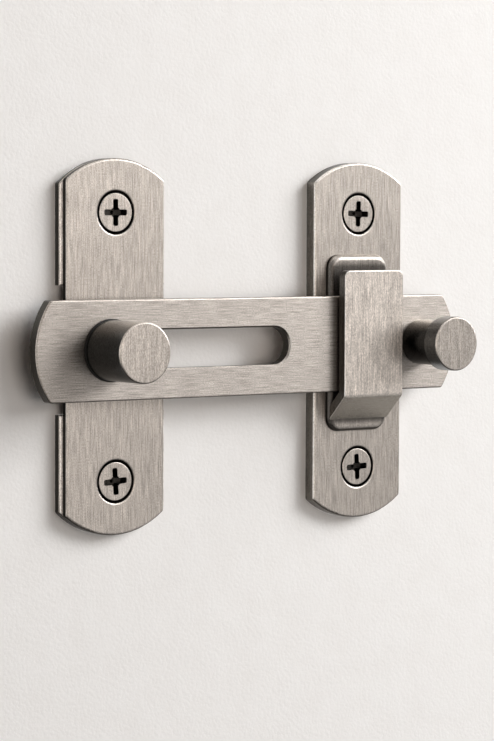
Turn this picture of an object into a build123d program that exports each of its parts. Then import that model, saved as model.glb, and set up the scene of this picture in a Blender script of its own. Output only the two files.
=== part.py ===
from build123d import *
import os
from math import cos, pi, radians, sqrt, tan

# Slotted flip-bar door latch: a pivot plate with a fixed post, a slotted bar with a handle,
# and a keeper plate with an open-topped hook. All sizes are in millimetres.
# X runs along the bar towards the handle, Z is up, and -Y points from the wall to the front.
# The origin lies on the wall in the middle of the four mounting screws.

# Plates
plate_width = 25.0
plate_height = 80.6
plate_end_radius = 19.3
plate_spacing = 65.6
plate_edge_round = 0.55
shoulder_round = 0.9
cover_thickness = 1.3
backing_thickness = 1.7
backing_ledge = 0.9
backing_edge_round = 0.35
notch_height = 27.4
notch_depth = 2.6
notch_corner = 1.0
keeper_thickness = 3.0

# Mounting screws
screw_spacing = 57.5
countersink_diameter = 9.7
countersink_round = 0.5
screw_head_diameter = 8.3
screw_head_drop = 0.15
screw_hole_diameter = 4.6
screw_neck_diameter = 3.6
screw_thread_diameter = 4.0
screw_thread_start = 0.05
screw_thread_length = 17.0
screw_point_length = 4.0
screw_head_gap = 0.05
cross_span = 5.8
cross_width = 1.3
cross_corner = 0.5
cross_depth = 1.7
cross_taper = 10.0
cross_pit_depth = 2.3

# Level of the bar and place of its post
bar_level = -0.4
post_offset = -4.2

# Bar
bar_height = 21.5
bar_thickness = 2.5
bar_tail = 18.5
bar_end_radius = 17.9
bar_edge_round = 0.4
bar_beyond_handle = 10.3
slot_width = 8.3
slot_reach = 47.1
slot_edge_round = 0.35

# Post, its bush and washers
sleeve_diameter = 6.6
sleeve_wall = 1.1
bush_length = 10.4
bush_flange_diameter = 14.0
bush_flange_thickness = 0.8
front_washer_diameter = 13.4
front_washer_thickness = 0.5
rear_spacer_diameter = 13.0
knob_diameter = 12.9
knob_edge_round = 0.4
knob_reach = 20.7

# Handle
handle_head_diameter = 12.2
handle_head_thickness = 4.4
handle_neck_diameter = 10.2
handle_to_hook = 1.95

# Machine screws of the two knobs
machine_screw_diameter = 4.0
machine_head_diameter = 7.2
machine_screw_grip = 7.0
machine_hole_spare = 0.8
drill_point_angle = 118.0
machine_cross_scale = 0.8

# Hook
hook_width = 16.6
hook_offset = -0.95
pad_height = 40.0
pad_thickness = 1.6
pad_corner = 3.2
pad_edge_round = 1.35
strap_thickness = 2.2
strap_top = 16.5
strap_corner = 1.6
strap_edge_round = 0.3
strap_bend_round = 1.4
strap_inner_round = 0.3
arm_angle = 44.0
rivet_spacing = 11.0
rivet_diameter = 4.0
rivet_head_diameter = 6.0
rivet_tail_diameter = 5.4

# Clearances
running_clearance = 0.05
washer_clearance = 0.1
hole_clearance = 0.1
rivet_clearance = 0.05
rivet_recess = 0.02
pad_clearance = 0.4
strap_clearance = 0.5
seat_clearance = 0.6
countersink_gap = 0.05

# Heights above the wall, worked out from the pieces that stack up
cover_front = backing_thickness + cover_thickness
pad_front = keeper_thickness + pad_thickness
bar_back = pad_front + pad_clearance
bar_front = bar_back + bar_thickness
strap_back = bar_front + strap_clearance
strap_front = strap_back + strap_thickness
flange_front = bar_back - washer_clearance
flange_back = flange_front - bush_flange_thickness
spacer_front = flange_back - washer_clearance
washer_back = bar_front + washer_clearance
knob_back = washer_back + front_washer_thickness

# Places along the bar
pivot_plate_x = -plate_spacing / 2
keeper_plate_x = plate_spacing / 2
post_x = pivot_plate_x + post_offset
hook_x = keeper_plate_x + hook_offset
handle_x = hook_x + hook_width / 2 + handle_to_hook + handle_neck_diameter / 2
bar_left = post_x - bar_tail
bar_right = handle_x + bar_beyond_handle
bush_half = bush_length / 2
slot_left = post_x - bush_half - running_clearance
slot_right = post_x + slot_reach

post_at = (post_x, bar_level)
handle_at = (handle_x, bar_level)
hook_at = (hook_x, bar_level)
screw_levels = (screw_spacing / 2, -screw_spacing / 2)
rivet_levels = (bar_level + rivet_spacing / 2, bar_level - rivet_spacing / 2)


def facing(height):
    """Plane parallel to the wall at a height in front of it: its x is X, its y is Z."""
    return Plane.XZ.offset(height)


def arched_outline(width, height, end_radius):
    """Upright outline with straight sides and a shallow arch at each end."""
    side = width / 2
    tip = height / 2
    shoulder = tip - end_radius + sqrt(end_radius**2 - side**2)
    with BuildSketch() as outline:
        with BuildLine():
            ThreePointArc((-side, shoulder), (0, tip), (side, shoulder))
            Line((side, shoulder), (side, -shoulder))
            ThreePointArc((side, -shoulder), (0, -tip), (-side, -shoulder))
            Line((-side, -shoulder), (-side, shoulder))
        make_face()
        fillet(outline.vertices(), shoulder_round)
    return outline.sketch


def turned(profile):
    """Solid turned about the Y axis from (radius, height above the wall) points."""
    with BuildPart() as solid:
        with BuildSketch(Plane.XY):
            with BuildLine():
                Polyline([(radius, -height) for radius, height in profile], close=True)
            make_face()
        revolve(axis=Axis.Y)
    return solid.part


def cross_recess(height, span, into_wall):
    """Cutter for a cross recess sunk from a height, towards the wall or away from it."""
    direction = -1 if into_wall else 1
    pit_radius = span / 4
    pit_bottom = height + direction * cross_pit_depth
    with BuildPart() as cutter:
        with BuildSketch(facing(height)) as cross:
            SlotOverall(span, cross_width)
            SlotOverall(span, cross_width, rotation=90)
            inner_corners = cross.vertices().sort_by_distance((0, 0, 0))[:4]
            fillet(inner_corners, cross_corner)
        extrude(amount=direction * cross_depth, taper=cross_taper)
        add(turned([(0, height), (pit_radius, height), (0, pit_bottom)]))
    return cutter.part


def ring(back, front, outer_diameter, inner_diameter):
    """Plain ring about the Y axis between two heights."""
    with BuildPart() as solid:
        with BuildSketch(facing(back)):
            Circle(outer_diameter / 2)
            Circle(inner_diameter / 2, mode=Mode.SUBTRACT)
        extrude(amount=front - back)
    return solid.part


def screw_hole(plate_front):
    """Cutter for a countersunk mounting hole through a plate with its front at this height."""
    mouth = countersink_diameter / 2
    bore = screw_hole_diameter / 2
    cone_end = plate_front - (mouth - bore)
    through = cone_end - plate_front
    return turned([(0, plate_front), (mouth, plate_front), (bore, cone_end), (bore, through), (0, through)])


def mounting_screw(plate_front):
    """Countersunk wood screw that sits in a plate with its front at this height."""
    head = screw_head_diameter / 2
    neck = screw_neck_diameter / 2
    thread = screw_thread_diameter / 2
    head_front = plate_front - screw_head_drop
    rim_back = plate_front - (countersink_diameter - screw_head_diameter) / 2 + screw_head_gap
    cone_end = rim_back - (head - neck)
    neck_end = min(cone_end, 0) - screw_thread_start
    thread_end = neck_end - screw_thread_length
    outline = [
        (0, head_front),
        (head, head_front),
        (head, rim_back),
        (neck, cone_end),
        (neck, neck_end),
        (thread, neck_end),
        (thread, thread_end),
        (0, thread_end - screw_point_length),
    ]
    recess = cross_recess(head_front, cross_span, into_wall=True)
    with BuildPart() as screw:
        add(turned(outline))
        add(recess, mode=Mode.SUBTRACT)
    return screw.part


def machine_screw(head_back, knob_seat):
    """Countersunk machine screw from behind, gripping a knob that seats at a height."""
    head = machine_head_diameter / 2
    shank = machine_screw_diameter / 2
    cone_end = head_back + head - shank
    tip = knob_seat + machine_screw_grip
    outline = [(0, head_back), (head, head_back), (shank, cone_end), (shank, tip), (0, tip)]
    recess = cross_recess(head_back, machine_cross_scale * cross_span, into_wall=False)
    with BuildPart() as screw:
        add(turned(outline))
        add(recess, mode=Mode.SUBTRACT)
    return screw.part


def machine_hole(head_back, front):
    """Cutter for a machine screw's countersunk hole, from its head to a front height."""
    gap = hole_clearance + countersink_gap
    mouth = machine_head_diameter / 2 + gap
    bore = machine_screw_diameter / 2 + hole_clearance
    cone_end = head_back + mouth - bore
    return turned([(0, head_back), (mouth, head_back), (bore, cone_end), (bore, front), (0, front)])


def tapped_hole(knob_seat):
    """Cutter for the blind hole in a knob that seats at a height."""
    bore = machine_screw_diameter / 2 + running_clearance
    depth = knob_seat + machine_screw_grip + machine_hole_spare
    point = bore / tan(radians(drill_point_angle / 2))
    return turned([(0, knob_seat), (bore, knob_seat), (bore, depth), (0, depth + point)])


def front_rim(part):
    """Outline of the frontmost flat face of a part."""
    return part.faces().sort_by(Axis.Y)[0].outer_wire().edges()


def countersink_mouths(part):
    """Mouths of the mounting holes in the frontmost flat face of a plate."""
    holes = part.faces().sort_by(Axis.Y)[0].inner_wires()
    mouth_length = pi * countersink_diameter
    return [hole.edges()[0] for hole in holes if abs(hole.length - mouth_length) < 0.1]


# Pivot side: backing plate with a notch in each side, level with the bar
with BuildPart() as pivot_backing_plate:
    backing_width = plate_width + 2 * backing_ledge
    with BuildSketch(facing(0)):
        with Locations((pivot_plate_x, 0)):
            add(arched_outline(backing_width, plate_height, plate_end_radius))
        with Locations((pivot_plate_x - backing_width / 2, bar_level)):
            RectangleRounded(2 * notch_depth, notch_height, notch_corner, mode=Mode.SUBTRACT)
        with Locations((pivot_plate_x + backing_width / 2, bar_level)):
            RectangleRounded(2 * notch_depth, notch_height, notch_corner, mode=Mode.SUBTRACT)
    extrude(amount=backing_thickness)
    fillet(front_rim(pivot_backing_plate), backing_edge_round)
    with Locations([(pivot_plate_x, 0, level) for level in screw_levels]):
        add(screw_hole(cover_front), mode=Mode.SUBTRACT)
    with Locations((post_x, 0, bar_level)):
        add(machine_hole(0, cover_front), mode=Mode.SUBTRACT)

# Pivot side: cover plate that shows at the front
with BuildPart() as pivot_cover_plate:
    with BuildSketch(facing(backing_thickness)):
        with Locations((pivot_plate_x, 0)):
            add(arched_outline(plate_width, plate_height, plate_end_radius))
    extrude(amount=cover_thickness)
    fillet(front_rim(pivot_cover_plate), plate_edge_round)
    with Locations([(pivot_plate_x, 0, level) for level in screw_levels]):
        add(screw_hole(cover_front), mode=Mode.SUBTRACT)
    fillet(countersink_mouths(pivot_cover_plate), countersink_round)
    with Locations((post_x, 0, bar_level)):
        add(machine_hole(0, cover_front), mode=Mode.SUBTRACT)

# Post: spacer tube, screw from behind and the plain round knob
sleeve_bore = sleeve_diameter - 2 * sleeve_wall
with BuildPart() as pivot_sleeve:
    with Locations((post_x, 0, bar_level)):
        add(ring(cover_front, knob_back, sleeve_diameter, sleeve_bore))

with BuildPart() as pivot_screw:
    with Locations((post_x, 0, bar_level)):
        add(machine_screw(countersink_gap, knob_back))

with BuildPart() as pivot_knob:
    with BuildSketch(facing(knob_back)):
        with Locations(post_at):
            Circle(knob_diameter / 2)
    extrude(amount=knob_reach - knob_back)
    fillet(front_rim(pivot_knob), knob_edge_round)
    with Locations((post_x, 0, bar_level)):
        add(tapped_hole(knob_back), mode=Mode.SUBTRACT)

# Washers that hold the bar off the plate and off the knob
washer_bore = sleeve_diameter + 2 * running_clearance
with BuildPart() as rear_spacer:
    with Locations((post_x, 0, bar_level)):
        add(ring(cover_front, spacer_front, rear_spacer_diameter, washer_bore))

with BuildPart() as front_washer:
    with Locations((post_x, 0, bar_level)):
        add(ring(washer_back, knob_back, front_washer_diameter, washer_bore))

# Slide that turns on the sleeve and runs in the slot
with BuildPart() as slot_bush:
    with BuildSketch(facing(flange_back)):
        with Locations(post_at):
            Circle(bush_flange_diameter / 2)
    extrude(amount=bush_flange_thickness)
    with BuildSketch(facing(flange_front)):
        with Locations(post_at):
            SlotOverall(bush_length, slot_width - 2 * running_clearance)
    extrude(amount=bar_front - flange_front)
    with BuildSketch(facing(flange_back)):
        with Locations(post_at):
            Circle(washer_bore / 2)
    extrude(amount=bar_front - flange_back, mode=Mode.SUBTRACT)

# Bar with arched ends and a long slot
with BuildPart() as latch_bar:
    with BuildSketch(facing(bar_back)):
        with Locations(((bar_left + bar_right) / 2, bar_level)):
            add(arched_outline(bar_height, bar_right - bar_left, bar_end_radius), rotation=90)
    extrude(amount=bar_thickness)
    fillet(front_rim(latch_bar), bar_edge_round)
    with BuildSketch(facing(bar_back)):
        with Locations(((slot_left + slot_right) / 2, bar_level)):
            SlotOverall(slot_right - slot_left, slot_width)
    extrude(amount=bar_thickness, mode=Mode.SUBTRACT)
    slot_rim = latch_bar.faces().sort_by(Axis.Y)[0].inner_wires()[0].edges()
    chamfer(slot_rim, slot_edge_round)
    with Locations((handle_x, 0, bar_level)):
        add(machine_hole(bar_back, bar_front), mode=Mode.SUBTRACT)

# Handle knob with its neck, and the screw that holds it from the bar's back
with BuildPart() as handle_knob:
    head_back = knob_reach - handle_head_thickness
    with BuildSketch(facing(bar_front)):
        with Locations(handle_at):
            Circle(handle_neck_diameter / 2)
    extrude(amount=head_back - bar_front)
    with BuildSketch(facing(head_back)):
        with Locations(handle_at):
            Circle(handle_head_diameter / 2)
    extrude(amount=handle_head_thickness)
    fillet(front_rim(handle_knob), knob_edge_round)
    with Locations((handle_x, 0, bar_level)):
        add(tapped_hole(bar_front), mode=Mode.SUBTRACT)

with BuildPart() as handle_screw:
    with Locations((handle_x, 0, bar_level)):
        add(machine_screw(bar_back + countersink_gap, bar_front))

# Keeper side: plate with holes for its screws and the hook's rivets
rivet_hole_radius = rivet_diameter / 2 + rivet_clearance
rivet_head_hole_radius = rivet_head_diameter / 2 + rivet_clearance
rivet_tail_hole_radius = rivet_tail_diameter / 2 + rivet_clearance
rivet_hole = turned(
    [
        (0, 0),
        (rivet_tail_hole_radius, 0),
        (rivet_hole_radius, rivet_tail_hole_radius - rivet_hole_radius),
        (rivet_hole_radius, pad_front - (rivet_head_hole_radius - rivet_hole_radius)),
        (rivet_head_hole_radius, pad_front),
        (0, pad_front),
    ]
)
with BuildPart() as keeper_plate:
    with BuildSketch(facing(0)):
        with Locations((keeper_plate_x, 0)):
            add(arched_outline(plate_width, plate_height, plate_end_radius))
    extrude(amount=keeper_thickness)
    fillet(front_rim(keeper_plate), plate_edge_round)
    with Locations([(keeper_plate_x, 0, level) for level in screw_levels]):
        add(screw_hole(keeper_thickness), mode=Mode.SUBTRACT)
    fillet(countersink_mouths(keeper_plate), countersink_round)
    with Locations([(hook_x, 0, level) for level in rivet_levels]):
        add(rivet_hole, mode=Mode.SUBTRACT)

# Hook: pad behind the bar
with BuildPart() as hook_pad:
    with BuildSketch(facing(keeper_thickness)):
        with Locations(hook_at):
            RectangleRounded(hook_width, pad_height, pad_corner)
    extrude(amount=pad_thickness)
    fillet(front_rim(hook_pad), pad_edge_round)
    with Locations([(hook_x, 0, level) for level in rivet_levels]):
        add(rivet_hole, mode=Mode.SUBTRACT)

# Hook: strap with a slanted arm under the bar and an upright front
arm_slope = tan(radians(arm_angle))
arm_rise = strap_thickness / cos(radians(arm_angle))
edge_centre_height = bar_front - bar_edge_round
edge_centre_level = bar_level - bar_height / 2 + bar_edge_round
seat_drop = (bar_edge_round + seat_clearance) / cos(radians(arm_angle))


def arm_inside(height):
    """Level of the arm's inner face at a height above the wall."""
    return edge_centre_level - seat_drop + (height - edge_centre_height) * arm_slope


strap_tip = bar_level + strap_top
strap_side = [
    (-pad_front, arm_inside(pad_front)),
    (-strap_back, arm_inside(strap_back)),
    (-strap_back, strap_tip),
    (-strap_front, strap_tip),
    (-strap_front, arm_inside(strap_front) - arm_rise),
    (-pad_front, arm_inside(pad_front) - arm_rise),
]
with BuildPart() as hook_strap:
    with BuildSketch(Plane.YZ.offset(hook_x - hook_width / 2)) as strap_profile:
        with BuildLine():
            Polyline(strap_side, close=True)
        make_face()
        inner_corner = strap_profile.vertices().sort_by_distance(strap_side[1])[0]
        fillet(inner_corner, strap_inner_round)
        outer_corner = strap_profile.vertices().sort_by_distance(strap_side[4])[0]
        fillet(outer_corner, strap_bend_round)
    extrude(amount=hook_width)
    tip_edges = hook_strap.faces().sort_by(Axis.Z)[-1].edges().filter_by(Axis.Y)
    fillet(tip_edges, strap_corner)
    fillet(front_rim(hook_strap), strap_edge_round)

# Two flush rivets that hold the pad on the keeper plate
rivet_radius = rivet_diameter / 2
rivet = turned(
    [
        (0, rivet_recess),
        (rivet_tail_diameter / 2, rivet_recess),
        (rivet_radius, rivet_recess + rivet_tail_diameter / 2 - rivet_radius),
        (rivet_radius, pad_front - rivet_recess - (rivet_head_diameter / 2 - rivet_radius)),
        (rivet_head_diameter / 2, pad_front - rivet_recess),
        (0, pad_front - rivet_recess),
    ]
)
with BuildPart() as hook_rivets:
    with Locations([(hook_x, 0, level) for level in rivet_levels]):
        add(rivet)

# Mounting screws, two in each plate
with BuildPart() as pivot_side_screws:
    with Locations([(pivot_plate_x, 0, level) for level in screw_levels]):
        add(mounting_screw(cover_front))

with BuildPart() as keeper_side_screws:
    with Locations([(keeper_plate_x, 0, level) for level in screw_levels]):
        add(mounting_screw(keeper_thickness))

# Write every piece under its own name
pieces = {
    "pivot_backing_plate": pivot_backing_plate,
    "pivot_cover_plate": pivot_cover_plate,
    "pivot_sleeve": pivot_sleeve,
    "pivot_screw": pivot_screw,
    "pivot_knob": pivot_knob,
    "rear_spacer": rear_spacer,
    "front_washer": front_washer,
    "slot_bush": slot_bush,
    "latch_bar": latch_bar,
    "handle_knob": handle_knob,
    "handle_screw": handle_screw,
    "keeper_plate": keeper_plate,
    "hook_pad": hook_pad,
    "hook_strap": hook_strap,
    "hook_rivets": hook_rivets,
    "pivot_side_screws": pivot_side_screws,
    "keeper_side_screws": keeper_side_screws,
}
os.makedirs("parts", exist_ok=True)
for name, piece in pieces.items():
    piece.part.label = name
    export_step(piece.part, f"parts/{name}.step")
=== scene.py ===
from math import cos, hypot, radians, sin, tau

import bmesh
import bpy
from mathutils import Matrix, Vector


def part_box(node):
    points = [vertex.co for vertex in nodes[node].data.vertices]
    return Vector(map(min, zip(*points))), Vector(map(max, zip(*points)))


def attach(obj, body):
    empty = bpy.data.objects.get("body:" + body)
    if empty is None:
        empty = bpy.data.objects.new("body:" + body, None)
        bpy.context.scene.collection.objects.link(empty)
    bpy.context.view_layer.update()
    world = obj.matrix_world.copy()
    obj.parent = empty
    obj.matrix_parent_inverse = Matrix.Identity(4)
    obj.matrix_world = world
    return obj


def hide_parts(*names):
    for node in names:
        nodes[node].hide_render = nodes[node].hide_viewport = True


# Slotted flip-bar door latch in brushed nickel-toned steel, screwed to a plain plastered wall.
# All lengths are in metres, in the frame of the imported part: X along the bar, Z up, -Y to the front.

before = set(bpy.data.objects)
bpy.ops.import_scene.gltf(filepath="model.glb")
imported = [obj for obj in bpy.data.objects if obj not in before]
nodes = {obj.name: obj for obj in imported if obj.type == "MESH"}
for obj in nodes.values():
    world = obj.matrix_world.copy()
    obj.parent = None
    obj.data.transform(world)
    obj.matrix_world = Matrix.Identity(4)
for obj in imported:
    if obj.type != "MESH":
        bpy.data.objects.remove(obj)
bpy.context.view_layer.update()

MM = 0.001

# Camera
picture_height_px = 741
focal_length_px = 2750
sensor_size = 36.0
camera_near = 0.01
camera_place = Vector((-0.3533, -0.4947, 0.0268))
camera_turn = radians(35.83)
camera_dip = radians(3.09)
camera_roll = radians(0.21)

# Light
surround_strength = 0.02
backdrop_strength = 0.78
backdrop_in_steel = 0.16
backdrop_colour = (1.0, 0.98, 0.955, 1.0)
lamp_distance = 1.1
near_lamp_distance = 0.6
key_colour = (0.985, 0.995, 1.0)
fill_colour = (1.0, 0.905, 0.825)

# Levels at the two ends of a range that rises or falls
rising = (0.0, 1.0)
falling = (1.0, 0.0)

# Range that most of a noise lies in
noise_reach = (0.3, 0.7)

# Wall
wall_half_size = 1.5
wall_gap = 0.15 * MM
contact_reach = 0.8 * MM
wall_tones = ((0.947, 0.922, 0.900, 1.0), (0.974, 0.953, 0.935, 1.0))
wall_grains_per_metre = 1300.0
wall_patches_per_metre = 140.0
wall_roughness = 0.9
wall_gloss = 0.1
wall_bump = 0.55
wall_bump_height = 0.14 * MM

# Plastic of the slide and the washers
bush_tones = ((0.010, 0.0095, 0.009, 1.0), (0.022, 0.021, 0.020, 1.0))
bush_grains_per_metre = 2500.0
bush_roughness = (0.50, 0.66)
bush_gloss = 0.35

# Steel tones
plate_tone = (0.440, 0.396, 0.358, 1.0)
bar_tone = (0.350, 0.313, 0.282, 1.0)
strap_tone = (0.590, 0.531, 0.481, 1.0)
knob_tone = (0.445, 0.401, 0.363, 1.0)
handle_tone = (0.425, 0.383, 0.346, 1.0)
burnished_tone = (0.640, 0.580, 0.525, 1.0)
# Bright burnish of some rounds, and the default painted highlight on rounds that face right
bright_burnish_and_highlight_tone = (0.900, 0.845, 0.790, 1.0)
# Painted light on the backing plate's front, whose ledge beside the cover lies in the cover's shade
ledge_painted_light_tone = (0.860, 0.800, 0.745, 1.0)
# Painted shade on rounds that face down; the hook's slope has its own lighter one
lower_painted_shade_tone = (0.110, 0.100, 0.089, 1.0)
slope_painted_shade_tone = (0.400, 0.366, 0.322, 1.0)
barrel_tone = (0.090, 0.094, 0.094, 1.0)
head_barrel_tone = (0.135, 0.139, 0.139, 1.0)
# Painted highlight on the tops of the knob's barrel and the handle's neck and head, over their dark sides
barrel_top_painted_highlight = (0.420, 0.400, 0.375, 1.0)
neck_top_painted_highlight = (0.640, 0.605, 0.560, 1.0)
keeper_edge_tone = (0.230, 0.216, 0.196, 1.0)
strap_edge_tone = (0.130, 0.122, 0.110, 1.0)
cut_edge_tone = (0.065, 0.061, 0.054, 1.0)
shadow_tone = (0.008, 0.007, 0.006, 1.0)

# Brushed grain: features in a metre across and along the brushing, and how much lighter or darker they are
streaks_across = 6400.0
streaks_along = 210.0
streak_levels = (0.60, 1.36)
scratches_across = 8000.0
scratches_along = 3000.0
scratch_levels = (0.64, 1.32)
clouds_per_metre = 90.0
cloud_levels = (0.97, 1.03)
grain_spread = 0.5
grain_bump = 0.15
grain_bump_height = 0.02 * MM
satin_roughness = (0.36, 0.46)
cut_edge_polish = 0.72

# Ranges of a face's normal, each along one axis, in which it comes to count as facing that way
front_facing = (0.76, 0.96)
cut_edge_facing = 0.50
cover_edge_facing = 0.75
strap_edge_facing = 0.30
right_facing = (0.25, 0.55)
up_facing = (0.40, 1.00)
down_facing = (-0.45, -0.15)
back_facing = (0.20, 0.60)
top_facing = (0.30, 0.90)

# Handle, with how dark the painted shade on its head and neck is and where the one gives way to the other
handle_head_thickness = 4.4 * MM
handle_head_shade = 0.55
handle_neck_shade = 0.70
neck_fade = (-0.5 * MM, -0.1 * MM)

# Pad in the hook's throat: where painted shade fades out above and below the strap, and how dark it is there
throat_top_fade = (0.3 * MM, 3.0 * MM)
throat_top_shade = (0.84, 0.10)
throat_foot_fade = (-1.8 * MM, -0.1 * MM)
throat_foot_shade = (0.05, 0.80)

# Mounting screws, the same on both sides of the middle and above and below it
screw_side = 32.8 * MM
screw_level = 28.75 * MM
# Painted shade inside the plates' countersinks reaches this far from each screw's axis, fading over the last
# bit
countersink_radius = 4.85 * MM
countersink_fade = 0.2 * MM
plate_back_facing = 0.5
screw_steps = 64
screw_rim_height = 0.5 * MM
screw_rim_round = 0.16 * MM
screw_neck_radius = 1.8 * MM
screw_neck_end = 1.0 * MM
screw_point_length = 5.0 * MM
thread_core_radius = 1.42 * MM
thread_radius = 2.0 * MM
thread_root = 0.75 * MM
thread_sunk = 0.1 * MM
thread_pitch = 1.8 * MM
thread_steps = 24
thread_tip_share = 0.08
cross_span = 5.8 * MM
cross_width = 1.3 * MM
cross_corner = 0.4 * MM
cross_depth = 1.7 * MM
cross_taper = 0.82
cross_proud = 0.02 * MM
pit_radius = 1.25 * MM
pit_tip_radius = 0.15 * MM
pit_depth = 2.3 * MM
pit_steps = 32
pit_turn = radians(4)
pit_proud = 0.01 * MM
# Painted shade in a screw's cross recess and under its rim: how far behind the head's front it fades in, and
# how dark it gets
recess_fade = (0.04 * MM, 0.35 * MM)
recess_shade_darkness = 0.93
screw_turns = {
    "pivot_side_screws": (radians(0), radians(-4)),
    "keeper_side_screws": (radians(2), radians(-3)),
}

# Tolerances of the meshes
merge_distance = 0.001 * MM
clean_distance = 0.002 * MM
flat_tolerance = 0.01 * MM
flat_facing = 0.999
sharp_angle = radians(35)


def make_camera():
    """Camera at the photograph's place and angle."""
    ahead = Vector((
        sin(camera_turn) * cos(camera_dip),
        cos(camera_turn) * cos(camera_dip),
        -sin(camera_dip),
    ))
    level = Vector((cos(camera_turn), -sin(camera_turn), 0.0))
    upright = level.cross(ahead)
    right = level * cos(camera_roll) + upright * sin(camera_roll)
    up = upright * cos(camera_roll) - level * sin(camera_roll)
    lens = bpy.data.cameras.new("camera")
    lens.sensor_width = sensor_size
    lens.lens = focal_length_px * sensor_size / picture_height_px
    lens.clip_start = camera_near
    camera = bpy.data.objects.new("camera", lens)
    aim = Matrix((right, up, -ahead)).transposed().to_4x4()
    camera.matrix_world = Matrix.Translation(camera_place) @ aim
    bpy.context.scene.collection.objects.link(camera)
    bpy.context.scene.camera = camera


def link(tree, source, target):
    """Joins two sockets of a node tree."""
    tree.links.new(source, target)


def add_node(tree, kind, **settings):
    """Adds a shader node and sets its plain settings."""
    node = tree.nodes.new(kind)
    for name, value in settings.items():
        setattr(node, name, value)
    return node


def axes(tree, vector):
    """X, Y and Z of a vector socket."""
    node = add_node(tree, "ShaderNodeSeparateXYZ")
    link(tree, vector, node.inputs["Vector"])
    return node.outputs["X"], node.outputs["Y"], node.outputs["Z"]


def map_range(tree, value, reach, levels, smooth=False):
    """Maps a value from its reach to two levels, held at both ends."""
    node = add_node(tree, "ShaderNodeMapRange")
    if smooth:
        node.interpolation_type = "SMOOTHSTEP"
    link(tree, value, node.inputs["Value"])
    node.inputs["From Min"].default_value = reach[0]
    node.inputs["From Max"].default_value = reach[1]
    node.inputs["To Min"].default_value = levels[0]
    node.inputs["To Max"].default_value = levels[1]
    return node.outputs["Result"]


def mix_colour(tree, share, first, second):
    """Mixes two colours, each a socket or a plain colour, by a share socket."""
    node = add_node(tree, "ShaderNodeMix", data_type="RGBA")
    link(tree, share, node.inputs["Factor"])
    for value, socket in ((first, node.inputs[6]), (second, node.inputs[7])):
        if isinstance(value, tuple):
            socket.default_value = value
        else:
            link(tree, value, socket)
    return node.outputs[2]


def combine(tree, operation, first, second=0.0):
    """Works out one value from one or two, each a socket or a plain number."""
    node = add_node(tree, "ShaderNodeMath", operation=operation)
    for value, socket in ((first, node.inputs[0]), (second, node.inputs[1])):
        if isinstance(value, (int, float)):
            socket.default_value = value
        else:
            link(tree, value, socket)
    return node.outputs[0]


def noise(tree, place, stretch, detail=2.0, roughness=0.5):
    """Noise on object coordinates, with so many features in a metre along X, Y and Z."""
    mapping = add_node(tree, "ShaderNodeMapping")
    mapping.inputs["Scale"].default_value = stretch
    link(tree, place, mapping.inputs["Vector"])
    texture = add_node(tree, "ShaderNodeTexNoise")
    texture.inputs["Scale"].default_value = 1.0
    texture.inputs["Detail"].default_value = detail
    texture.inputs["Roughness"].default_value = roughness
    link(tree, mapping.outputs["Vector"], texture.inputs["Vector"])
    return texture.outputs["Fac"]


def add_bump(tree, shader, height, strength, distance):
    """Gives a surface a slight relief from a height socket."""
    bump = add_node(tree, "ShaderNodeBump")
    bump.inputs["Strength"].default_value = strength
    bump.inputs["Distance"].default_value = distance
    link(tree, height, bump.inputs["Height"])
    link(tree, bump.outputs["Normal"], shader.inputs["Normal"])


def new_material(name):
    """Material with only a Principled shader and an output."""
    material = bpy.data.materials.new(name)
    material.use_nodes = True
    tree = material.node_tree
    tree.nodes.clear()
    shader = add_node(tree, "ShaderNodeBsdfPrincipled")
    output = add_node(tree, "ShaderNodeOutputMaterial")
    link(tree, shader.outputs["BSDF"], output.inputs["Surface"])
    return material, tree, shader


def steel_grain(tree, place, grain):
    """Streaks, fine scratches and faint clouds of a brushed face, along one axis."""
    streak_stretch = tuple(streaks_along if axis == grain else streaks_across for axis in "XYZ")
    scratch_stretch = tuple(scratches_along if axis == grain else scratches_across for axis in "XYZ")
    streaks = noise(tree, place, streak_stretch, detail=3.0, roughness=0.6)
    scratches = noise(tree, place, scratch_stretch)
    clouds = noise(tree, place, (clouds_per_metre,) * 3, detail=3.0)
    return streaks, scratches, clouds


def grain_level(tree, streaks, scratches, clouds):
    """How light the steel is at a point of its grain."""
    streak_level = map_range(tree, streaks, noise_reach, streak_levels)
    scratch_level = map_range(tree, scratches, noise_reach, scratch_levels)
    cloud_level = map_range(tree, clouds, noise_reach, cloud_levels)
    return combine(tree, "MULTIPLY", combine(tree, "MULTIPLY", streak_level, scratch_level), cloud_level)


def facing_shares(tree, place, edge_facing):
    """How far a point is on a rounded corner or a cut edge, and faces right, up, down or back."""
    along, depth, height = axes(tree, place.outputs["Normal"])
    outward = combine(tree, "ABSOLUTE", depth)
    rounded = map_range(tree, outward, front_facing, falling, smooth=True)
    square = map_range(tree, outward, (edge_facing / 3, edge_facing), falling, smooth=True)
    rightward = map_range(tree, along, right_facing, rising, smooth=True)
    upward = map_range(tree, height, up_facing, rising, smooth=True)
    downward = map_range(tree, height, down_facing, falling, smooth=True)
    backward = map_range(tree, depth, back_facing, rising, smooth=True)
    return rounded, square, rightward, upward, downward, backward


def countersink_painted_shade(tree, place):
    """Painted shade inside the countersunk holes of the plates: 1 there, and 0 on their backs."""
    along, _, height = axes(tree, place.outputs["Object"])
    _, backward, _ = axes(tree, place.outputs["Normal"])
    aside = combine(tree, "SUBTRACT", combine(tree, "ABSOLUTE", along), screw_side)
    above = combine(tree, "SUBTRACT", combine(tree, "ABSOLUTE", height), screw_level)
    aside_square = combine(tree, "MULTIPLY", aside, aside)
    above_square = combine(tree, "MULTIPLY", above, above)
    distance = combine(tree, "SQRT", combine(tree, "ADD", aside_square, above_square))
    rim = (countersink_radius - countersink_fade, countersink_radius)
    inside = map_range(tree, distance, rim, falling, smooth=True)
    not_back = combine(tree, "LESS_THAN", backward, plate_back_facing)
    return combine(tree, "MULTIPLY", inside, not_back)


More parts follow.
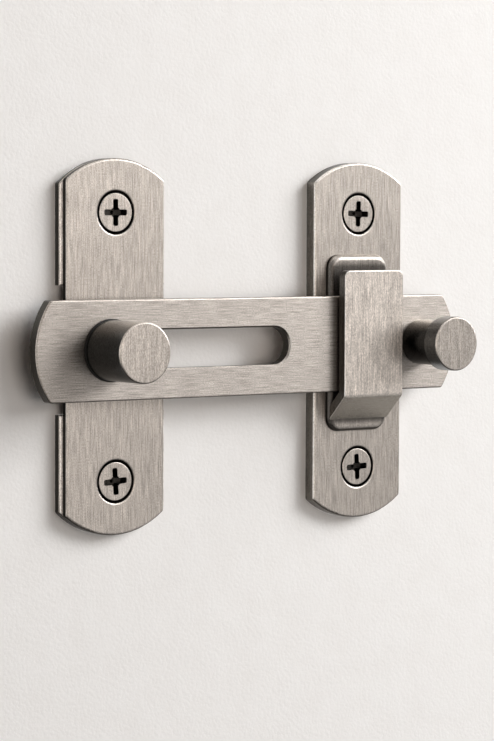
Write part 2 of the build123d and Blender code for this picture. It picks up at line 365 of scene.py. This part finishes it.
def recess_painted_shade(tree, place, head_front):
    """Painted shade on a screw behind the front of its head: in its cross recess and under its rim."""
    _, depth, _ = axes(tree, place.outputs["Object"])
    reach = [head_front + fade for fade in recess_fade]
    sunk = map_range(tree, depth, reach, (0.0, recess_shade_darkness), smooth=True)
    before_wall = combine(tree, "LESS_THAN", depth, 0.0)
    return combine(tree, "MULTIPLY", sunk, before_wall)


def throat_painted_shade(tree, place, strap_low, strap_high):
    """Painted shade on the pad in the hook's throat, darkest behind and next to the strap and fading above
    and below it.
    """
    _, _, height = axes(tree, place.outputs["Object"])
    top_reach = [strap_high + fade for fade in throat_top_fade]
    foot_reach = [strap_low + fade for fade in throat_foot_fade]
    above = map_range(tree, height, top_reach, throat_top_shade, smooth=True)
    below = map_range(tree, height, foot_reach, throat_foot_shade, smooth=True)
    return combine(tree, "MINIMUM", above, below)


def neck_painted_shade(tree, place, head_back):
    """Painted shade on the handle: on its head's top, and on the neck behind the head all round but on top.
    """
    _, depth, _ = axes(tree, place.outputs["Object"])
    _, _, upward = axes(tree, place.outputs["Normal"])
    on_top = map_range(tree, upward, top_facing, rising, smooth=True)
    behind = map_range(tree, depth, [head_back + fade for fade in neck_fade], rising)
    head_share = map_range(tree, behind, rising, (handle_head_shade, 0.0))
    side_share = map_range(tree, on_top, rising, (handle_neck_shade, 0.0))
    shaded_head = combine(tree, "MULTIPLY", on_top, head_share)
    shaded_neck = combine(tree, "MULTIPLY", behind, side_share)
    return combine(tree, "ADD", shaded_head, shaded_neck)


def brushed_steel(
    name,
    grain,
    front=plate_tone,
    rounds=burnished_tone,
    painted_right_highlight=bright_burnish_and_highlight_tone,
    painted_lower_shade=lower_painted_shade_tone,
    edges=cut_edge_tone,
    top_edges_painted_highlight=cut_edge_tone,
    edge_facing=cut_edge_facing,
    painted_shade_mask=None,
):
    """Satin steel brushed along one axis, with burnished rounds, duller cut edges and plain backs;
    right-facing rounds get a painted highlight, lower rounds painted shade, upward cut edges their own tone,
    and a mask may add painted shade.
    """
    material, tree, shader = new_material(name)
    shader.inputs["Metallic"].default_value = 1.0
    shader.inputs["Anisotropic"].default_value = grain_spread
    place = add_node(tree, "ShaderNodeTexCoord")
    streaks, scratches, clouds = steel_grain(tree, place.outputs["Object"], grain)

    rounded, square, rightward, upward, downward, backward = facing_shares(tree, place, edge_facing)
    # Rounds that face right get a painted highlight
    corner = mix_colour(tree, rightward, rounds, painted_right_highlight)
    # Rounds that face down get painted shade
    corner = mix_colour(tree, downward, corner, painted_lower_shade)
    face = mix_colour(tree, backward, front, plate_tone)
    # Cut edges that face up take their own tone, a painted highlight on the knob and handle
    edge = mix_colour(tree, upward, edges, top_edges_painted_highlight)
    base = mix_colour(tree, square, mix_colour(tree, rounded, face, corner), edge)
    # Painted shade from the given mask, mixed toward the shadow tone
    if painted_shade_mask:
        base = mix_colour(tree, painted_shade_mask(tree, place), base, shadow_tone)
    shaded = add_node(tree, "ShaderNodeVectorMath", operation="SCALE")
    link(tree, base, shaded.inputs[0])
    link(tree, grain_level(tree, streaks, scratches, clouds), shaded.inputs["Scale"])
    link(tree, shaded.outputs["Vector"], shader.inputs["Base Color"])

    satin = map_range(tree, streaks, noise_reach, satin_roughness)
    polish = map_range(tree, square, rising, (1.0, cut_edge_polish))
    link(tree, combine(tree, "MULTIPLY", satin, polish), shader.inputs["Roughness"])
    add_bump(tree, shader, combine(tree, "ADD", streaks, scratches), grain_bump, grain_bump_height)

    spread = add_node(tree, "ShaderNodeVectorTransform")
    spread.vector_type = "VECTOR"
    spread.convert_from = "OBJECT"
    spread.convert_to = "WORLD"
    spread.inputs["Vector"].default_value = (0.0, 0.0, 1.0) if grain == "X" else (1.0, 0.0, 0.0)
    link(tree, spread.outputs["Vector"], shader.inputs["Tangent"])
    return material


def bush_plastic():
    """Black acetal of the slide and the washers."""
    material, tree, shader = new_material("bush_plastic")
    place = add_node(tree, "ShaderNodeTexCoord")
    grain = noise(tree, place.outputs["Object"], (bush_grains_per_metre,) * 3)
    link(tree, mix_colour(tree, grain, *bush_tones), shader.inputs["Base Color"])
    link(tree, map_range(tree, grain, noise_reach, bush_roughness), shader.inputs["Roughness"])
    shader.inputs["Specular IOR Level"].default_value = bush_gloss
    return material


def wall_plaster():
    """Warm white plaster that is see-through from behind and where a piece touches it."""
    material, tree, shader = new_material("wall_plaster")
    output = tree.nodes["Material Output"]
    place = add_node(tree, "ShaderNodeTexCoord")
    grains = noise(tree, place.outputs["Object"], (wall_grains_per_metre,) * 3)
    patches = noise(tree, place.outputs["Object"], (wall_patches_per_metre,) * 3, detail=5.0, roughness=0.6)
    tint = map_range(tree, patches, noise_reach, rising)
    link(tree, mix_colour(tree, tint, *wall_tones), shader.inputs["Base Color"])
    shader.inputs["Roughness"].default_value = wall_roughness
    shader.inputs["Specular IOR Level"].default_value = wall_gloss
    add_bump(tree, shader, combine(tree, "ADD", grains, patches), wall_bump, wall_bump_height)
    geometry = add_node(tree, "ShaderNodeNewGeometry")
    path = add_node(tree, "ShaderNodeLightPath")
    touching = combine(tree, "LESS_THAN", path.outputs["Ray Length"], contact_reach)
    open_share = combine(tree, "MAXIMUM", geometry.outputs["Backfacing"], touching)
    clear = add_node(tree, "ShaderNodeBsdfTransparent")
    mix = add_node(tree, "ShaderNodeMixShader")
    link(tree, open_share, mix.inputs["Fac"])
    link(tree, shader.outputs["BSDF"], mix.inputs[1])
    link(tree, clear.outputs["BSDF"], mix.inputs[2])
    link(tree, mix.outputs["Shader"], output.inputs["Surface"])
    return material


def mesh_object(name, shape):
    """Turns a finished bmesh into an object of the scene."""
    mesh = bpy.data.meshes.new(name)
    shape.to_mesh(mesh)
    shape.free()
    solid = bpy.data.objects.new(name, mesh)
    bpy.context.scene.collection.objects.link(solid)
    return solid


def stand_forward(shape):
    """Turns a shape that was made lying down, so that its top faces the front."""
    turn = Matrix.Rotation(radians(90), 3, "X")
    bmesh.ops.rotate(shape, verts=shape.verts, cent=(0, 0, 0), matrix=turn)


def screw_body(head_front, tip, head_radius):
    """Countersunk head, neck and pointed core, turned about the Y axis."""
    cone_end = head_front + screw_rim_height + head_radius - screw_neck_radius
    outline = (
        (0.0, head_front),
        (head_radius, head_front),
        (head_radius, head_front + screw_rim_height),
        (screw_neck_radius, cone_end),
        (screw_neck_radius, screw_neck_end),
        (thread_core_radius, screw_neck_end + screw_neck_radius - thread_core_radius),
        (thread_core_radius, tip - screw_point_length),
        (0.0, tip),
    )
    shape = bmesh.new()
    corners = [shape.verts.new((radius, depth, 0.0)) for radius, depth in outline]
    sides = [shape.edges.new(pair) for pair in zip(corners, corners[1:])]
    bmesh.ops.spin(
        shape,
        geom=corners + sides,
        cent=(0, 0, 0),
        axis=(0, 1, 0),
        angle=tau,
        steps=screw_steps,
        use_merge=True,
    )
    bmesh.ops.remove_doubles(shape, verts=shape.verts, dist=merge_distance)
    bmesh.ops.recalc_face_normals(shape, faces=shape.faces)
    front = [face for face in shape.faces if face.calc_center_median().y < head_front + flat_tolerance]
    front = bmesh.ops.dissolve_faces(shape, faces=front)["region"]
    rim = [edge for face in front for edge in face.edges]
    bmesh.ops.bevel(
        shape, geom=rim, offset=screw_rim_round, affect="EDGES", segments=3, profile=0.5, material=-1
    )
    return mesh_object("screw_body", shape)


def cross_cutter(head_front):
    """Tapered cross with rounded arms, sunk from the front of a screw head."""
    shape = bmesh.new()
    bmesh.ops.create_grid(shape, x_segments=1, y_segments=1, size=cross_width / 2)
    for side in shape.edges[:]:
        outward = (side.verts[0].co + side.verts[1].co).normalized()
        arm = bmesh.ops.extrude_edge_only(shape, edges=[side])["geom"]
        arm_end = [part for part in arm if isinstance(part, bmesh.types.BMVert)]
        bmesh.ops.translate(shape, verts=arm_end, vec=outward * (cross_span - cross_width) / 2)
    floor = bmesh.ops.extrude_face_region(shape, geom=shape.faces[:], use_keep_orig=True)["geom"]
    floor_corners = [part for part in floor if isinstance(part, bmesh.types.BMVert)]
    bmesh.ops.translate(shape, verts=floor_corners, vec=(0, 0, -cross_depth))
    bmesh.ops.scale(shape, verts=floor_corners, vec=(cross_taper, cross_taper, 1.0))
    bmesh.ops.recalc_face_normals(shape, faces=shape.faces)
    upright = [
        side for side in shape.edges if abs(side.verts[0].co.z - side.verts[1].co.z) > cross_depth / 2
    ]
    bmesh.ops.bevel(
        shape, geom=upright, offset=cross_corner, affect="EDGES", segments=4, profile=0.5, material=-1
    )
    stand_forward(shape)
    bmesh.ops.translate(shape, verts=shape.verts, vec=(0, head_front - cross_proud, 0))
    return mesh_object("cross_cutter", shape)


def pit_cutter(head_front):
    """Cone in the middle of the cross."""
    shape = bmesh.new()
    bmesh.ops.create_cone(
        shape, cap_ends=True, segments=pit_steps, radius1=pit_tip_radius, radius2=pit_radius, depth=pit_depth
    )
    turn = Matrix.Rotation(pit_turn, 3, "Z")
    bmesh.ops.rotate(shape, verts=shape.verts, cent=(0, 0, 0), matrix=turn)
    bmesh.ops.translate(shape, verts=shape.verts, vec=(0, 0, -pit_depth / 2))
    stand_forward(shape)
    bmesh.ops.translate(shape, verts=shape.verts, vec=(0, head_front - pit_proud, 0))
    return mesh_object("pit_cutter", shape)


def cut(solid, cutters):
    """Cuts other solids out of one and takes them away, leaving its mesh as a bmesh."""
    for cutter in cutters:
        modifier = solid.modifiers.new(cutter.name, "BOOLEAN")
        modifier.operation = "DIFFERENCE"
        modifier.solver = "EXACT"
        modifier.object = cutter
    graph = bpy.context.evaluated_depsgraph_get()
    cut_mesh = bpy.data.meshes.new_from_object(solid.evaluated_get(graph))
    shape = bmesh.new()
    shape.from_mesh(cut_mesh)
    bmesh.ops.remove_doubles(shape, verts=shape.verts, dist=clean_distance)
    bmesh.ops.dissolve_degenerate(shape, edges=shape.edges, dist=clean_distance)
    for used in [solid, *cutters]:
        mesh = used.data
        bpy.data.objects.remove(used)
        bpy.data.meshes.remove(mesh)
    bpy.data.meshes.remove(cut_mesh)
    return shape


def wind_thread(shape, tip):
    """Sharp wood thread, wound round the core and running out at both ends."""
    begin = screw_neck_end + thread_root
    finish = tip - thread_root
    turns = (finish - begin) / thread_pitch
    inside = thread_core_radius - thread_sunk
    profile = (
        (inside, begin - thread_root / 2),
        (thread_radius, begin),
        (inside, begin + thread_root / 2),
    )
    corners = [shape.verts.new((radius, depth, 0.0)) for radius, depth in profile]
    sides = [shape.edges.new((corners[i - 1], corners[i])) for i in range(3)]
    before = set(shape.verts) - set(corners)
    wound = bmesh.ops.spin(
        shape,
        geom=corners + sides,
        cent=(0, 0, 0),
        axis=(0, 1, 0),
        dvec=(0, thread_pitch / thread_steps, 0),
        angle=tau * turns,
        steps=round(turns * thread_steps),
    )
    bmesh.ops.contextual_create(shape, geom=corners)
    last = [part for part in wound["geom_last"] if isinstance(part, bmesh.types.BMVert)]
    bmesh.ops.contextual_create(shape, geom=last)
    for vert in set(shape.verts) - before:
        reach = hypot(vert.co.x, vert.co.z)
        crest = max(0.0, reach - inside)
        rise = min(1.0, max(0.0, (vert.co.y - begin) / thread_pitch))
        narrow = min(1.0, max(thread_tip_share, (tip - vert.co.y) / screw_point_length))
        share = (inside + crest * rise) * narrow / reach
        bmesh.ops.scale(shape, verts=[vert], vec=(share, 1.0, share))
    wound_faces = [face for face in shape.faces if all(vert not in before for vert in face.verts)]
    bmesh.ops.recalc_face_normals(shape, faces=wound_faces)


def make_screws(node, material):
    """Two cross-recess wood screws of one side, each turned as it happened to stop."""
    low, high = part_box(node)
    low, high = Vector(low), Vector(high)
    head_radius = (high.x - low.x) / 2
    middle = (high.x + low.x) / 2
    solid = screw_body(low.y, high.y, head_radius)
    one = cut(solid, [cross_cutter(low.y), pit_cutter(low.y)])
    wind_thread(one, high.y)
    one_mesh = bpy.data.meshes.new("one_screw")
    one.to_mesh(one_mesh)
    one.free()
    pair = bmesh.new()
    for level, turn in zip((high.z - head_radius, low.z + head_radius), screw_turns[node]):
        placed = set(pair.verts)
        pair.from_mesh(one_mesh)
        added = [vert for vert in pair.verts if vert not in placed]
        bmesh.ops.rotate(pair, verts=added, cent=(0, 0, 0), matrix=Matrix.Rotation(turn, 3, "Y"))
        bmesh.ops.translate(pair, verts=added, vec=(middle, 0, level))
    bpy.data.meshes.remove(one_mesh)
    screws = mesh_object(node.replace("side_", ""), pair)
    screws.data.set_sharp_from_angle(angle=sharp_angle)
    for face in screws.data.polygons:
        face.use_smooth = abs(face.normal.y) < flat_facing
    screws.data.materials.append(material)
    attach(screws, "mounted_sides")
    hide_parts(node)


def make_wall():
    """Wall that the latch is screwed to."""
    shape = bmesh.new()
    bmesh.ops.create_grid(shape, x_segments=1, y_segments=1, size=wall_half_size)
    stand_forward(shape)
    bmesh.ops.translate(shape, verts=shape.verts, vec=(0, wall_gap, 0))
    wall = mesh_object("wall", shape)
    wall.data.materials.append(wall_plaster())


def make_world():
    """Faint surround of the studio, seen as a pale backdrop, and faintly in the steel."""
    world = bpy.data.worlds.new("studio")
    bpy.context.scene.world = world
    world.use_nodes = True
    tree = world.node_tree
    ground = tree.nodes["Background"]
    ground.inputs["Color"].default_value = backdrop_colour
    path = add_node(tree, "ShaderNodeLightPath")
    mirrored = combine(tree, "ADD", path.outputs["Is Glossy Ray"], path.outputs["Is Transmission Ray"])
    mirrored = combine(tree, "MULTIPLY", mirrored, backdrop_in_steel)
    seen = combine(tree, "MULTIPLY", path.outputs["Is Camera Ray"], backdrop_strength)
    shown = combine(tree, "ADD", seen, mirrored)
    link(tree, combine(tree, "ADD", shown, surround_strength), ground.inputs["Strength"])


def add_lamp(
    name, turn, rise, width, height, power, colour=key_colour, distance=lamp_distance, on_wall=True
):
    """Soft lamp, so many degrees to the right of straight ahead and up, that is not itself seen."""
    turn = radians(turn)
    rise = radians(rise)
    toward = Vector((sin(turn) * cos(rise), -cos(turn) * cos(rise), sin(rise)))
    lamp = bpy.data.lights.new(name, "AREA")
    lamp.shape = "RECTANGLE"
    lamp.size = width
    lamp.size_y = height
    lamp.energy = power
    lamp.color = colour
    lamp_object = bpy.data.objects.new(name, lamp)
    aim = toward.to_track_quat("Z", "Y").to_matrix().to_4x4()
    lamp_object.matrix_world = Matrix.Translation(toward * distance) @ aim
    lamp_object.visible_camera = False
    lamp_object.visible_diffuse = on_wall
    bpy.context.scene.collection.objects.link(lamp_object)


def light_studio():
    """Keys from the right, weaker fills in front, lamps for the back, and three that only the steel shows."""
    add_lamp("right_key", turn=56, rise=25, width=0.60, height=0.60, power=9.7)
    add_lamp("upper_fill", turn=38, rise=25, width=0.60, height=0.60, power=2.9)
    add_lamp("side_key", turn=76, rise=25, width=0.60, height=0.60, power=1.6)
    add_lamp("low_fill", turn=56, rise=-30, width=1.00, height=1.00, power=1.5)
    add_lamp("middle_fill", turn=20, rise=-10, width=0.60, height=0.60, power=1.0)
    add_lamp(
        "near_fill",
        turn=-6,
        rise=4,
        width=0.40,
        height=0.30,
        power=0.8,
        colour=fill_colour,
        distance=near_lamp_distance,
    )
    add_lamp("left_strip", turn=-60, rise=5, width=0.08, height=0.80, power=0.7, on_wall=False)
    add_lamp("left_sheen", turn=-84, rise=8, width=0.50, height=0.80, power=2.0, on_wall=False)
    add_lamp("top_sheen", turn=0, rise=74, width=0.60, height=0.30, power=1.6, on_wall=False)
    add_lamp("back_lamp", turn=175, rise=14, width=0.60, height=0.60, power=8.0)
    add_lamp("back_side_lamp", turn=138, rise=-8, width=0.60, height=0.60, power=2.2)


def finish_steel():
    """Gives every CAD node its material, and makes the screws."""
    screw_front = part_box("pivot_side_screws")[0][1]
    head_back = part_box("handle_knob")[0][1] + handle_head_thickness
    strap_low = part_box("hook_strap")[0][2]
    strap_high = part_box("hook_strap")[1][2]
    keeper = brushed_steel(
        "plate_steel", "Z", rounds=bright_burnish_and_highlight_tone, edges=keeper_edge_tone, painted_shade_mask=countersink_painted_shade
    )
    cover = brushed_steel(
        "cover_steel", "Z", edges=shadow_tone, edge_facing=cover_edge_facing, painted_shade_mask=countersink_painted_shade
    )
    # The backing plate's front is painted lighter than its shade beside the cover
    backing = brushed_steel("backing_steel", "Z", front=ledge_painted_light_tone)
    bar = brushed_steel("bar_steel", "X", front=bar_tone)
    knob = brushed_steel(
        "knob_steel", "Z", front=knob_tone, edges=barrel_tone, top_edges_painted_highlight=barrel_top_painted_highlight
    )
    handle = brushed_steel(
        "handle_steel",
        "Z",
        front=handle_tone,
        edges=head_barrel_tone,
        top_edges_painted_highlight=neck_top_painted_highlight,
        painted_shade_mask=lambda tree, place: neck_painted_shade(tree, place, head_back),
    )
    pad = brushed_steel(
        "pad_steel", "Z", painted_shade_mask=lambda tree, place: throat_painted_shade(tree, place, strap_low, strap_high)
    )
    strap = brushed_steel(
        "hook_steel",
        "Z",
        front=strap_tone,
        rounds=bright_burnish_and_highlight_tone,
        painted_right_highlight=strap_tone,
        painted_lower_shade=slope_painted_shade_tone,
        edges=strap_edge_tone,
        edge_facing=strap_edge_facing,
    )
    screw = brushed_steel(
        "screw_steel", "Z", painted_shade_mask=lambda tree, place: recess_painted_shade(tree, place, screw_front)
    )
    inner = brushed_steel("inner_steel", "Y")
    bush = bush_plastic()
    finishes = {
        keeper: ["keeper_plate"],
        cover: ["pivot_cover_plate"],
        backing: ["pivot_backing_plate"],
        bar: ["latch_bar"],
        knob: ["pivot_knob"],
        handle: ["handle_knob"],
        pad: ["hook_pad"],
        strap: ["hook_strap"],
        screw: ["pivot_side_screws", "keeper_side_screws"],
        inner: ["pivot_sleeve", "pivot_screw", "handle_screw", "hook_rivets"],
        bush: ["slot_bush", "rear_spacer", "front_washer"],
    }
    for material, names in finishes.items():
        for name in names:
            nodes[name].material_slots[0].material = material
    for node in ("pivot_side_screws", "keeper_side_screws"):
        make_screws(node, screw)


make_camera()
make_world()
light_studio()
make_wall()
finish_steel()

bpy.context.scene.view_settings.view_transform = "Standard"
